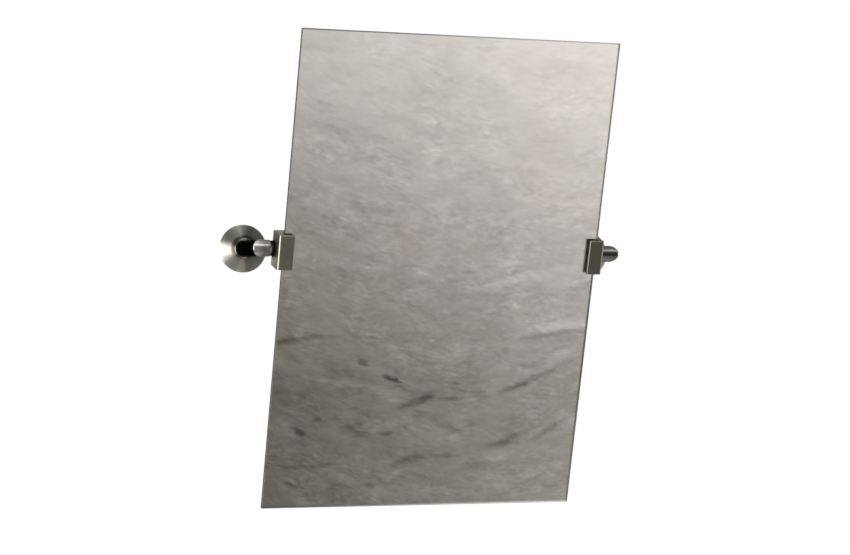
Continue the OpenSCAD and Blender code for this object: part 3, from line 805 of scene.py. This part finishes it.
def studio(net, shader):
    """A quiet level with softboxes in it."""
    azimuth, elevation, rightward = bearings(net)

    def patch(low_azimuth, high_azimuth, low, high, soft):
        return net.times(net.window(azimuth, low_azimuth, high_azimuth, soft),
                         net.window(elevation, low, high, soft))

    left_over = net.fit(elevation, *LOW_TO_HIGH, LEFT_OVER_LOW, LEFT_OVER_HIGH)
    right_part = net.fit(rightward, *RIGHT_OF_CAMERA, 1.0, left_over)
    level = net.times(net.fit(elevation, *BASE_LEVEL), right_part)
    level = net.times(level, net.minus(1.0, patch(*DARK_PLACE)))
    for *edges, strength in STUDIO_LIGHTS:
        level = net.times_plus(patch(*edges), strength, level)
    sharp = net.add("ShaderNodeLightPath").outputs["Is Singular Ray"]
    shown = net.fit(sharp, 0.0, 1.0, level, LEVEL_FOR_GLASS, smooth=False)
    net.fill(shader, Color=STUDIO_COLOUR, Strength=shown)


CARD_COLOUR = rgb(0.97, 1.0, 1.0)
CARD_LEVELS = (0.09, 0.125)
CARD_REACH = 0.2


def dim_card(net, shader):
    """Dim grey with a broad mottle."""
    mottle = net.noise(place(net), scale=0.6)
    net.fill(shader, Color=CARD_COLOUR, Strength=net.stretch(mottle, CARD_REACH, *CARD_LEVELS))


def glow(name, build):
    """A material that shines but is not sampled as a lamp."""
    mat, net, shader = surface(name, "ShaderNodeEmission")
    build(net, shader)
    mat.cycles.emission_sampling = "NONE"
    return mat


def seen_by(obj, glossy, transmission):
    """Shows a piece of the stage to these rays and to no others."""
    obj.visible_camera = False
    obj.visible_diffuse = False
    obj.visible_shadow = False
    obj.visible_volume_scatter = False
    obj.visible_glossy = glossy
    obj.visible_transmission = transmission


ROOM_R = 6.0
STONE_OPENING = 79.0                 # half angle in degrees of each room's opening towards the wall
STUDIO_OPENING = 30.0
# A card beyond the wall on the left, for the glass edges and the sides of the metal
CARD_LEFT = -2.6
CARD_RIGHT = 0.4
CARD_Y = 2.0
CARD_TOP = 1.6
CARD_CORNERS = (
    (CARD_LEFT, CARD_Y, -CARD_TOP),
    (CARD_RIGHT, CARD_Y, -CARD_TOP),
    (CARD_RIGHT, CARD_Y, CARD_TOP),
    (CARD_LEFT, CARD_Y, CARD_TOP),
)

stone_shell = shell("room_for_glass", ROOM_R, STONE_OPENING)
stone_shell.data.materials.append(glow("room_stone", stone_room))
seen_by(stone_shell, glossy=False, transmission=True)
studio_shell = shell("room_for_metal", ROOM_R, STUDIO_OPENING)
studio_shell.data.materials.append(glow("room_studio", studio))
seen_by(studio_shell, glossy=True, transmission=False)
wall_card = mesh_object("card_behind", CARD_CORNERS, [(0, 1, 2, 3)])
wall_card.data.materials.append(glow("card_grey", dim_card))
seen_by(wall_card, glossy=True, transmission=True)


# ---- background, floor and lamps -------------------------------------------------

WHITE = rgb(1, 1, 1)
WHITE_LEVEL = 1.0
SKY_LEVEL = 0.55                     # what the open sky gives a white surface; the lamps add the rest
FLOOR_R = 1.5
FLOOR_Z = -0.75
FLOOR_FADE = (0.55 * FLOOR_R, 0.97 * FLOOR_R)    # where it begins to fade to white, and where it is white
FLOOR_DARK = rgb(0.90, 0.90, 0.90)
FLOOR_LIGHT = rgb(0.94, 0.94, 0.94)

# Lamps: which way the light goes, its strength, and how wide the lamp looks in degrees
LAMPS = {
    "key": ((0.55, 0.75, -0.65), 1.3, 30.0),
    "fill": ((-0.7, 0.45, -0.45), 0.5, 40.0),
    "rim": ((0.2, -0.9, -0.5), 0.6, 40.0),
}


def seen_directly(net):
    """1 for a ray from the camera, from metal or through glass, which show the background as white."""
    path = net.add("ShaderNodeLightPath").outputs
    by_metal_or_glass = net.math("MAXIMUM", path["Is Glossy Ray"], path["Is Transmission Ray"])
    return net.math("MAXIMUM", path["Is Camera Ray"], by_metal_or_glass)


def choose(net, shader, factor, first, second):
    """Fills a Mix Shader node, whose two shader sockets share one name."""
    for socket, value in zip(shader.inputs, (factor, first.outputs[0], second.outputs[0])):
        net.put(socket, value)


def open_sky():
    world = bpy.data.worlds.new("studio_world")
    bpy.context.scene.world = world
    world.use_nodes = True
    world.cycles.sampling_method = "NONE"
    net = Net(world.node_tree)
    lit = net.add("ShaderNodeBackground", Color=WHITE, Strength=SKY_LEVEL)
    white = net.add("ShaderNodeBackground", Color=WHITE, Strength=WHITE_LEVEL)
    mixed = net.add("ShaderNodeMixShader")
    choose(net, mixed, seen_directly(net), lit, white)
    net.add("ShaderNodeOutputWorld", Surface=mixed.outputs[0])


def floor_material():
    """Pale and slightly mottled, fading to plain white towards its rim."""
    mat, net, mixed = surface("floor_pale", "ShaderNodeMixShader")
    x, y, _ = net.split(place(net))
    fade = net.fit(net.vector("LENGTH", net.join(x, y)), *FLOOR_FADE)
    mottle = net.noise(place(net), scale=5.0, detail=3.0)
    pale = net.add("ShaderNodeBsdfDiffuse", Color=net.mix(mottle, FLOOR_DARK, FLOOR_LIGHT))
    white = net.add("ShaderNodeEmission", Color=WHITE, Strength=WHITE_LEVEL)
    choose(net, mixed, net.times(fade, seen_directly(net)), pale, white)
    return mat


def sun(name, towards, strength, width):
    lamp = bpy.data.lights.new(name, "SUN")
    lamp.energy = strength
    lamp.angle = math.radians(width)
    obj = bpy.data.objects.new(name, lamp)
    obj.rotation_mode = "QUATERNION"
    obj.rotation_quaternion = Vector(towards).to_track_quat("-Z", "Y")
    obj.visible_glossy = False
    obj.visible_transmission = False
    bpy.context.scene.collection.objects.link(obj)


open_sky()
floor = disc("floor", FLOOR_R, FLOOR_Z)
floor.data.materials.append(floor_material())
floor.visible_glossy = False
floor.visible_transmission = False
for name, lamp in LAMPS.items():
    sun(name, *lamp)


# ---- camera ----------------------------------------------------------------------

def aim():
    """The camera's matrix from its place, heading, pitch and roll."""
    ahead = Vector((
        math.sin(CAMERA_HEADING) * math.cos(CAMERA_PITCH),
        math.cos(CAMERA_HEADING) * math.cos(CAMERA_PITCH),
        math.sin(CAMERA_PITCH),
    ))
    right = Vector((math.cos(CAMERA_HEADING), -math.sin(CAMERA_HEADING), 0.0))
    up = right.cross(ahead)
    rolled_right = right * math.cos(CAMERA_ROLL) + up * math.sin(CAMERA_ROLL)
    rolled_up = up * math.cos(CAMERA_ROLL) - right * math.sin(CAMERA_ROLL)
    turn = Matrix((rolled_right, rolled_up, -ahead)).transposed().to_4x4()
    return Matrix.Translation(CAMERA_AT) @ turn


camera = bpy.data.objects.new("camera", bpy.data.cameras.new("camera"))
camera.data.lens = CAMERA_LENS
camera.data.sensor_width = CAMERA_SENSOR
camera.data.clip_end = CAMERA_REACH
camera.matrix_world = aim()
bpy.context.scene.collection.objects.link(camera)
bpy.context.scene.camera = camera
bpy.context.scene.view_settings.view_transform = "Standard"

bpy.context.view_layer.update()
